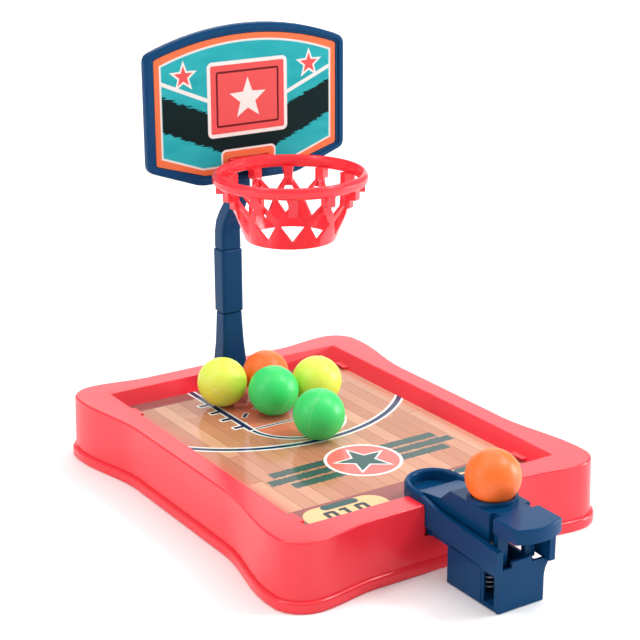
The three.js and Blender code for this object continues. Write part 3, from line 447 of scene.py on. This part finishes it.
def wooden_floor(card):
    along = card.tree.nodes.new("ShaderNodeCombineXYZ")
    card.tree.links.new(card.y, along.inputs[0])
    card.tree.links.new(card.x, along.inputs[1])
    planks = card.tree.nodes.new("ShaderNodeTexBrick")
    planks.offset = PLANK_OFFSET
    for name, value in (
        ("Color1", (*PLANK_PALE, 1)), ("Color2", (*PLANK_WARM, 1)), ("Mortar", (*PLANK_SEAM, 1)),
        ("Scale", 1.0), ("Mortar Size", 0.2), ("Mortar Smooth", 0.4),
        ("Brick Width", PLANK_LENGTH), ("Row Height", PLANK_WIDTH),
    ):
        planks.inputs[name].default_value = value
    card.tree.links.new(along.outputs[0], planks.inputs["Vector"])
    card.colour = planks.outputs["Color"]
    grain = card.noise(2.4, 0.09, detail=4.0)
    card.paint(card.sum(grain, "MULTIPLY", -1.0), PLANK_SEAM, strength=0.22, softness=0.35)


# %% Draw the court lines
FLOOR_END_Y = 75.5
LANE_HALF_WIDTH, LANE_HALF_LENGTH = 24.5, 35
RING_Y = 25
RING_LINE = 1.7
RING_DASHES = 12
ARC_Y, ARC_RADIUS, ARC_LINE = 81, 85.8, 2.6
TICK_PLACES = (30.5, 42.5, 53.5, 65)


def edged(card, shape, white=1.0):
    card.paint(card.grow(shape, white), CHALK)
    card.paint(shape, INK)


def court_lines(card):
    ahead = card.sum(card.y, "SUBTRACT", FLOOR_END_Y)
    lane = card.box(0, 60, LANE_HALF_WIDTH, LANE_HALF_LENGTH)
    ring = card.disc(0, RING_Y, LANE_HALF_WIDTH)
    card.paint(card.both(card.either(lane, ring), ahead), SALMON, strength=0.75)
    edged(card, card.outline(card.disc(0, ARC_Y, ARC_RADIUS), ARC_LINE), white=1.3)
    front_half = card.both(card.outline(ring, RING_LINE), card.sum(card.y, "SUBTRACT", RING_Y))
    edged(card, front_half)
    angle = card.sum(card.sum(card.y, "SUBTRACT", RING_Y), "ARCTAN2", card.x)
    wave = card.sum(card.sum(angle, "MULTIPLY", RING_DASHES), "COSINE")
    dashes = card.sum(wave, "MULTIPLY_ADD", 2.0, 0.3)
    back_half = card.both(
        card.outline(ring, RING_LINE), card.sum(RING_Y, "SUBTRACT", card.y), dashes)
    edged(card, back_half, white=0.5)
    edged(card, card.box(0, 24.4, LANE_HALF_WIDTH, 0.55), white=0.7)
    sides = card.box(LANE_HALF_WIDTH, 59, 1.3, LANE_HALF_LENGTH, mirrored=True)
    ticks = card.either(*[card.box(27.6, y, 3.0, 1.2, mirrored=True) for y in TICK_PLACES])
    edged(card, card.either(sides, ticks))


# %% Draw the bands, the emblem and the score plates
EMBLEM_Y = -36
EMBLEM_RADIUS, EMBLEM_STAR = 17, 12.5
EMBLEM_BARS = ((7.4, 20), (0, 25), (-7.4, 17))
SCORE_X, SCORE_Y = 37, -79
SCORE_DIGITS = ((-8.0, "0"), (0, "1"), (8.0, "0"))


def court_bands(card):
    inwards = card.sum(56.5, "SUBTRACT", card.from_middle())
    card.paint(inwards, SALMON, strength=0.4, softness=3.0)
    card.paint(card.sum(FLOOR_END_Y, "SUBTRACT", card.y), MAUVE)
    card.paint(card.sum(card.y, "ADD", 66.0), MAUVE)


def court_emblem(card):
    bars = card.either(*[
        card.box(26, EMBLEM_Y + rise, half_length, 2.9, 0.4, mirrored=True)
        for rise, half_length in EMBLEM_BARS
    ])
    torn = card.sum(card.noise(0.5, 1.6, detail=3.0), "MULTIPLY", 3.0)
    card.paint(card.sum(bars, "ADD", torn), PINE, strength=0.94)
    disc = card.disc(0, EMBLEM_Y, EMBLEM_RADIUS)
    card.paint(card.grow(disc, 1.5), CHALK)
    card.paint(disc, EMBLEM_RED)
    star = card.star(0, EMBLEM_Y, EMBLEM_STAR)
    card.paint(card.grow(star, 0.9), CHALK)
    card.paint(star, PINE)


def score_plates(card):
    card.paint(card.box(SCORE_X, -78.4, 21.0, 10.2, 9.0, mirrored=True), CREAM)
    card.paint(card.box(36.5, -70.4, 9.5, 2.4, 2.3, mirrored=True), PINE)
    for side in (-SCORE_X, SCORE_X):
        for place, digit in SCORE_DIGITS:
            centre = side + place
            if digit == "0":
                shape = card.outline(card.box(centre, SCORE_Y, 2.0, 3.8, 0.5), 2.2)
            else:
                shape = card.either(
                    card.box(centre, SCORE_Y, 1.1, 4.9), card.box(centre - 1.4, -75.2, 1.5, 1.1))
            card.paint(shape, DIGIT_INK)


# %% Make the court's material
def court_material():
    material, tree, shader = shader_of("court_print")
    low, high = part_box("court_card")
    card = Print(tree, 0, 1, ((low.x + high.x) / 2, (low.y + high.y) / 2))
    wooden_floor(card)
    court_bands(card)
    court_lines(card)
    court_emblem(card)
    score_plates(card)
    add_moulded(tree, shader, card.colour, 0.13, spread=0.04, tint=0.03, grain=0.001, bump=0.01)
    shader.inputs["Specular IOR Level"].default_value = 0.22
    print("court print:", len(tree.nodes), "nodes")
    return material


COURT = court_material()

# %% [markdown]
# ## The board's panel
#
# The panel is a second printed sheet. The picture inside is a plain one on teal: dark wings
# under a pale stripe, two small stars, and a shooter's square with a star. Heights are counted
# from the tray's rim.

# %% Board colours and the board's outline
BOARD_TEAL = (0.016, 0.33, 0.37)
BOARD_PALE_TEAL = (0.035, 0.43, 0.46)
BOARD_ORANGE = (0.74, 0.165, 0.065)
BOARD_CORAL = (0.7, 0.085, 0.085)
BOARD_DARK = (0.002, 0.012, 0.013)
BOARD_WHITE = (0.74, 0.71, 0.68)
SQUARE_LINE = (0.12, 0.01, 0.012)

BOARD_HALF_WIDTH, BOARD_FOOT_HALF_WIDTH = 55.4, 27.0
BOARD_FOOT, BOARD_SLOPE_END, BOARD_ARCH_START, BOARD_TOP = 107.2, 117.4, 172.5, 183.6


def board_outline(card):
    rise = BOARD_TOP - BOARD_ARCH_START
    radius = (BOARD_HALF_WIDTH * BOARD_HALF_WIDTH + rise * rise) / (2 * rise)
    across = card.from_middle()
    slope = Vector((
        BOARD_HALF_WIDTH - BOARD_FOOT_HALF_WIDTH, BOARD_SLOPE_END - BOARD_FOOT)).normalized()
    out = Vector((slope.y, -slope.x))
    leaning = card.sum(
        card.sum(card.sum(across, "SUBTRACT", BOARD_FOOT_HALF_WIDTH), "MULTIPLY", out.x), "ADD",
        card.sum(card.sum(card.y, "SUBTRACT", BOARD_FOOT), "MULTIPLY", out.y))
    return card.both(
        card.grow(across, BOARD_HALF_WIDTH), card.disc(0, BOARD_TOP - radius, radius),
        card.sum(BOARD_FOOT, "SUBTRACT", card.y), leaning)


# %% Draw the panel's borders and its picture
BORDER, BORDER_WITH_EDGE = 7.7, 8.7
WING_SLOPE = 0.42
SQUARE_Y = 148
SMALL_STAR_X, SMALL_STAR_Y, SMALL_STAR = 35, 161, 5.2


def panel_borders(card):
    card.colour = BOARD_ORANGE
    edge = board_outline(card)
    card.paint(card.grow(edge, -BORDER), BOARD_WHITE)
    inside = card.grow(edge, -BORDER_WITH_EDGE)
    card.paint(inside, BOARD_TEAL)
    return inside


def panel_wings(card, inside):
    wash = card.sum(card.noise(0.045, 0.16, detail=5.0), "MULTIPLY", -4.0)
    card.paint(card.both(inside, wash), BOARD_PALE_TEAL, strength=0.6, softness=1.5)
    lean = card.sum(card.y, "SUBTRACT", card.sum(card.from_middle(), "MULTIPLY", WING_SLOPE))
    torn = card.sum(card.noise(0.22, 1.1, detail=4.0), "MULTIPLY", 5.0)
    wings = card.outline(card.sum(card.sum(lean, "SUBTRACT", 124.5), "ADD", torn), 17.0)
    card.paint(card.both(inside, wings), BOARD_DARK, softness=0.6)
    stripe = card.outline(card.sum(lean, "SUBTRACT", 139.0), 2.0)
    card.paint(card.both(inside, stripe), BOARD_WHITE)


def panel_square(card):
    square = card.box(0, SQUARE_Y, 20.5, 16.5, 1.0)
    card.paint(card.grow(square, 1.8), BOARD_WHITE)
    card.paint(square, BOARD_CORAL)
    card.paint(card.outline(card.box(0, SQUARE_Y, 17.0, 13.0, 0.6), 1.0), SQUARE_LINE)
    card.paint(card.star(0, 147.2, 10.5), BOARD_WHITE)


def panel_small_stars(card):
    star = card.star(SMALL_STAR_X, SMALL_STAR_Y, SMALL_STAR, mirrored=True)
    card.paint(card.grow(star, 0.9), BOARD_WHITE)
    card.paint(star, BOARD_CORAL)


def panel_slot_border(card):
    slot = card.box(0, 114, 14.4, 8.4, 1.8)
    card.paint(card.grow(slot, 1.0), BOARD_WHITE)
    card.paint(slot, BOARD_ORANGE)


# %% Make the panel's material
def panel_material():
    material, tree, shader = shader_of("board_print")
    card = Print(tree, 0, 2, (0.0, TRAY_RIM))
    inside = panel_borders(card)
    panel_wings(card, inside)
    panel_square(card)
    panel_small_stars(card)
    panel_slot_border(card)
    add_moulded(tree, shader, card.colour, 0.3, spread=0.06, tint=0.03, grain=0.001, bump=0.01)
    shader.inputs["Specular IOR Level"].default_value = 0.08
    print("panel print:", len(tree.nodes), "nodes")
    return material


PANEL = panel_material()

# %% [markdown]
# ## Dressing a piece
#
# A CAD solid has knife-sharp edges, and a moulded one never has. For each hard plastic piece the
# solid is copied, its loose triangles are merged and its flat faces joined again, and a narrow
# bevel rounds the edges so that they catch the light. The piece then stands for its CAD node.
#
# A bevel needs room beside the edge. Where small faces crowd together it would fold over itself,
# so the copy is bevelled on trial first. A face that now points against the solid below it, or
# that left the solid, gives such a place away, and the edges close to it stay sharp. The
# distances in this test are counted in widths of the bevel.

# %% Find the places where a bevel folds over
LEFT_SOLID, BESIDE_SOLID, STAYS_SHARP = 1.1, 0.3, 1.6
FACES_AGAINST = -0.3
NO_AREA = 1e-10


def dress(piece, body, node, material=None):
    if material is not None:
        piece.data.materials.clear()
        piece.data.materials.append(material)
    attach(piece, body)
    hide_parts(node)


def solid_tree(mesh):
    solid = bmesh.new()
    solid.from_mesh(mesh)
    tree = BVHTree.FromBMesh(solid)
    solid.free()
    return tree


def folded_corners(piece, tree, width):
    faces = bmesh.new()
    faces.from_mesh(piece.data)
    bmesh.ops.triangulate(faces, faces=faces.faces[:])
    corners = []
    for face in faces.faces:
        if face.calc_area() < NO_AREA:
            continue
        _, normal, _, distance = tree.find_nearest(face.calc_center_median())
        left = distance > width * LEFT_SOLID
        turned = distance < width * BESIDE_SOLID and normal.dot(face.normal) < FACES_AGAINST
        if left or turned:
            corners += [corner.co.copy() for corner in face.verts]
    faces.free()
    return corners


def close_to(corners, mesh, edges, reach):
    places = KDTree(len(corners))
    for number, corner in enumerate(corners):
        places.insert(corner, number)
    places.balance()
    return {
        edge for edge in edges
        if any(places.find(mesh.vertices[v].co)[2] < reach for v in mesh.edges[edge].vertices)
    }


# %% Copy a solid and round its edges
SAME_PLACE = 0.000002
FLAT = math.radians(0.6)
SHARP = math.radians(28.0)
SMOOTH = math.radians(40)
BEVEL_SEGMENTS = 2


def sharp_edges(mesh):
    solid = bmesh.new()
    solid.from_mesh(mesh)
    found = {e.index for e in solid.edges if e.is_manifold and e.calc_face_angle(0) > SHARP}
    solid.free()
    return found


def bevelled(piece, edges, width):
    trial = bpy.data.objects.new(piece.name, piece.data.copy())
    bpy.context.scene.collection.objects.link(trial)
    weight = trial.data.attributes.new("bevel_weight_edge", "FLOAT", "EDGE")
    weight.data.foreach_set("value", [float(i in edges) for i in range(len(trial.data.edges))])
    bevel = trial.modifiers.new("edges", "BEVEL")
    bevel.width = width
    bevel.segments = BEVEL_SEGMENTS
    bevel.limit_method = "WEIGHT"
    bevel.use_clamp_overlap = False
    apply_modifier(trial, bevel)
    return trial


def moulded_copy(node, name, width):
    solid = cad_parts[node].data
    piece = bpy.data.objects.new(name + "_solid", solid.copy())
    bpy.context.scene.collection.objects.link(piece)
    edit(piece)
    bpy.ops.mesh.remove_doubles(threshold=SAME_PLACE)
    bpy.ops.mesh.dissolve_limited(angle_limit=FLAT)
    leave_edit()
    tree = solid_tree(solid)
    edges = sharp_edges(piece.data)
    wanted = len(edges)
    while True:
        trial = bevelled(piece, edges, width)
        corners = folded_corners(trial, tree, width)
        if not corners:
            break
        edges -= close_to(corners, piece.data, edges, width * STAYS_SHARP)
        bpy.data.objects.remove(trial)
    bpy.data.objects.remove(piece)
    trial.name = trial.data.name = name
    only(trial)
    bpy.ops.object.shade_smooth_by_angle(angle=SMOOTH)
    weighted = trial.modifiers.new("normals", "WEIGHTED_NORMAL")
    weighted.keep_sharp = True
    apply_modifier(trial, weighted)
    print(name, "rounded", len(edges), "of", wanted, "edges,", len(trial.data.polygons), "faces")
    return trial


# %% Round and dress the hard plastic pieces
for node, name, body, slot, material, edge in (
    ("tray_base", "coral_tray", "game", "coral_plastic", CORAL, 0.6 * MM),
    ("lower_post", "flared_post", "game", "navy_plastic", NAVY, 0.25 * MM),
    ("middle_sleeve", "pole_sleeve", "game", "navy_plastic", NAVY, 0.2 * MM),
    ("upper_arm", "bent_arm", "game", "navy_plastic", NAVY, 0.25 * MM),
    ("backboard_frame", "arched_board_frame", "game", "navy_plastic", NAVY, 0.2 * MM),
    ("hoop_net", "hoop_with_net", "game", "coral_plastic", CORAL, 0.18 * MM),
    ("launcher_channel", "hanging_channel", "game", "navy_plastic", NAVY, 0.2 * MM),
    ("spring_box", "box_under_channel", "game", "navy_plastic", NAVY, 0.2 * MM),
    ("launcher_lever", "finger_lever", "lever", "navy_plastic", NAVY, 0.2 * MM),
):
    dress(moulded_copy(node, name, edge), body, node, material)

# %% [markdown]
# ## The cards and the pin
#
# The two cards are thin flat sheets, and the lever's pin is a plain steel rod between the
# channel's walls. A bevel would add nothing to them that the eye can see, so their CAD shapes
# stay and only get their prints and their steel.

# %% Give the flat prints and the pin their materials
for node, material in (("court_card", COURT), ("backboard_panel", PANEL), ("lever_pin", STEEL)):
    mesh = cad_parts[node].data
    mesh.materials.clear()
    mesh.materials.append(material)
    print(node, "keeps its shape and gets", material.name)

# %% [markdown]
# ## The balls
#
# Each ball is blown in a two-part mould. The mould's parting line leaves a thin seam all round,
# and the hole where the air went in leaves a small ring on that seam. A fine sphere is joined
# with one torus for the seam and one for the ring. Both get a paler plastic, a painted highlight
# for the light these raised lines catch. The ball is then turned until they lie as the picture
# shows them: each direction is given as the camera sees it, across, above and towards the eye.

# %% Make a ball
SEAM_SINK, SEAM_WIRE = 0.08 * MM, 0.13 * MM
VENT_SINK, VENT_WIRE, VENT_RADIUS = 0.1 * MM, 0.24 * MM, 0.95 * MM


def seen(across, above, towards):
    return (right * across + up * above + away * towards).normalized()


def ball_piece(name, centre, radius, vent, seam_point, blown, pale):
    bpy.ops.object.select_all(action="DESELECT")
    bpy.ops.mesh.primitive_uv_sphere_add(segments=72, ring_count=36, radius=radius)
    ball = bpy.context.active_object
    ball.data.materials.append(blown)
    bpy.ops.mesh.primitive_torus_add(
        major_radius=radius - SEAM_SINK, minor_radius=SEAM_WIRE, major_segments=96,
        minor_segments=8, rotation=(0, math.pi / 2, 0))
    seam = bpy.context.active_object
    bpy.ops.mesh.primitive_torus_add(
        major_radius=VENT_RADIUS, minor_radius=VENT_WIRE, major_segments=28,
        minor_segments=8, location=(0, 0, radius - VENT_SINK))
    ring = bpy.context.active_object
    bpy.ops.object.select_all(action="DESELECT")
    # The seam and the ring get the paler plastic, a painted highlight.
    for highlit_part in (seam, ring):
        highlit_part.data.materials.append(pale)
        highlit_part.select_set(True)
    ball.select_set(True)
    bpy.context.view_layer.objects.active = ball
    bpy.ops.object.transform_apply(location=True, rotation=True, scale=True)
    bpy.ops.object.join()
    ball.name = name
    across = vent.cross(seam_point).normalized()
    turned = Matrix((across, vent.cross(across), vent)).transposed().to_4x4()
    ball.matrix_world = Matrix.Translation(centre) @ turned
    bpy.ops.object.transform_apply(location=True, rotation=True, scale=True)
    bpy.ops.object.shade_smooth()
    return ball


# %% Place the six balls
for node, body, colour, vent, seam_point in (
    ("ball_yellow_left", "left_yellow_ball", "yellow", (-0.23, -0.34, 0.91), (-0.8, 0.3, 0.52)),
    ("ball_orange_court", "court_orange_ball", "orange", (0.3, 0.95, -0.1), (-0.95, 0.3, 0.1)),
    ("ball_green_back", "back_green_ball", "green", (0.75, 0.32, 0.58), (0.41, -0.67, 0.62)),
    ("ball_yellow_right", "right_yellow_ball", "yellow", (0.2, 0.97, -0.1), (0.97, -0.2, 0.1)),
    ("ball_green_front", "front_green_ball", "green", (-0.08, 0.61, 0.79), (-0.38, -0.43, 0.82)),
    ("ball_orange_launcher", "cup_ball", "orange", (-0.69, 0.47, -0.55), (0.15, 0.83, 0.54)),
):
    low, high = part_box(node)
    radius = (high.z - low.z) / 2
    piece = ball_piece(
        "blown_" + node, (low + high) / 2, radius, seen(*vent), seen(*seam_point),
        BALLS[colour], SEAM_HIGHLIGHTS[colour])
    dress(piece, body, node)
    print(piece.name, "radius", round(radius / MM, 2), "mm")

# %% [markdown]
# ## The launch spring
#
# A coil spring is a small circle swept round an axis while it climbs. Blender's Screw modifier
# does just that: the circle of the wire is set off from the axis, turned and lifted.
#
# When the finger pad is pressed, the lever turns about its pin and the seat under the cup comes
# down on the spring. Here the spring is wound at the height of its CAD part.

# %% Wind the spring
WIRE_RADIUS = 0.5 * MM
COILS = 12
STEPS_PER_COIL = 28
WIRE_SIDES = 12
WIRE_SMOOTH = math.radians(50)


def launch_spring():
    low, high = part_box("launch_spring")
    radius = (high.x - low.x) / 2 - WIRE_RADIUS
    bpy.ops.object.select_all(action="DESELECT")
    bpy.ops.mesh.primitive_circle_add(
        vertices=WIRE_SIDES, radius=WIRE_RADIUS, fill_type="NOTHING",
        location=(radius, 0, 0), rotation=(math.pi / 2, 0, 0))
    spring = bpy.context.active_object
    bpy.ops.object.transform_apply(location=True, rotation=True, scale=True)
    screw = spring.modifiers.new("winding", "SCREW")
    screw.angle = 2 * math.pi
    screw.steps = screw.render_steps = STEPS_PER_COIL
    screw.iterations = COILS
    screw.screw_offset = (high.z - low.z - 2 * WIRE_RADIUS) / COILS
    screw.use_merge_vertices = False
    apply_modifier(spring, screw)
    edit(spring)
    bpy.ops.mesh.select_all(action="DESELECT")
    bpy.ops.mesh.select_non_manifold(extend=False)
    bpy.ops.mesh.edge_face_add()
    bpy.ops.mesh.select_all(action="SELECT")
    bpy.ops.mesh.normals_make_consistent(inside=False)
    leave_edit()
    spring.name = "wound_launch_spring"
    spring.location = ((low.x + high.x) / 2, (low.y + high.y) / 2, low.z + WIRE_RADIUS)
    bpy.ops.object.transform_apply(location=True)
    bpy.ops.object.shade_smooth_by_angle(angle=WIRE_SMOOTH)
    return spring


spring = launch_spring()
dress(spring, "game", "launch_spring", STEEL)
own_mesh(spring)

# %% [markdown]
# ## The studio
#
# The photograph is a bright product picture on white. A wide pale floor, a white sky and a broad
# light overhead give the even light. The low softbox on the right lights the hoop and leaves the
# tray's front in the launcher's shade. Those on the left and behind shape the far sides, and the
# two small ones above draw thin highlights along the rims. The last keeps the far floor white.

# %% Floor and sky
FLOOR_SIZE = 40.0
FLOOR_WHITE, FLOOR_ROUGHNESS = (0.99, 0.99, 0.99, 1), 0.9
SKY_WHITE, SKY_STRENGTH = (1, 1, 1, 1), 0.48

bpy.ops.object.select_all(action="DESELECT")
bpy.ops.mesh.primitive_plane_add(size=FLOOR_SIZE, location=(0, 0, 0))
floor = bpy.context.active_object
floor.name = "studio_floor"
floor_material, floor_tree, floor_shader = shader_of("pale_floor", FLOOR_ROUGHNESS)
floor_shader.inputs["Base Color"].default_value = FLOOR_WHITE
floor.data.materials.append(floor_material)

world = bpy.data.worlds.new("studio_sky")
world.use_nodes = True
sky = world.node_tree.nodes["Background"]
sky.inputs["Color"].default_value = SKY_WHITE
sky.inputs["Strength"].default_value = SKY_STRENGTH
bpy.context.scene.world = world
bpy.context.scene.view_settings.view_transform = "Standard"
print("floor", FLOOR_SIZE, "m wide, sky at", SKY_STRENGTH)

# %% Lamps
ABOVE_COURT = (0, 0, 0.05)
FAR_FLOOR = (1.05, 1.65, 0.0)
DOWNWARDS = (-0.15, -0.1, -1.0)


def hang(name, data, place, aim):
    light = bpy.data.objects.new(name, data)
    light.location = place
    light.rotation_euler = (Vector(aim) - Vector(place)).to_track_quat("-Z", "Y").to_euler()
    bpy.context.scene.collection.objects.link(light)


for name, place, aim, size, power in (
    ("right_softbox", (1.3, -0.62, 0.4), ABOVE_COURT, 0.5, 13.0),
    ("left_softbox", (-1.25, 0.2, 0.6), ABOVE_COURT, 0.6, 4.0),
    ("back_softbox", (0.85, 1.3, 0.5), ABOVE_COURT, 1.3, 5.2),
    ("upper_right_softbox", (0.8, -0.49, 1.24), ABOVE_COURT, 0.25, 7.5),
    ("upper_left_softbox", (-0.76, 0.1, 1.35), ABOVE_COURT, 0.2, 3.0),
    ("backdrop_softbox", (1.05, 1.65, 1.5), FAR_FLOOR, 1.2, 3.6),
):
    softbox = bpy.data.lights.new(name, "AREA")
    softbox.size = size
    softbox.energy = power
    hang(name, softbox, place, aim)
    print(name, size, "m,", power, "W")

overhead = bpy.data.lights.new("overhead_light", "SUN")
overhead.angle = math.radians(70)
overhead.energy = 1.3
hang("overhead_light", overhead, (0, 0, 0), DOWNWARDS)
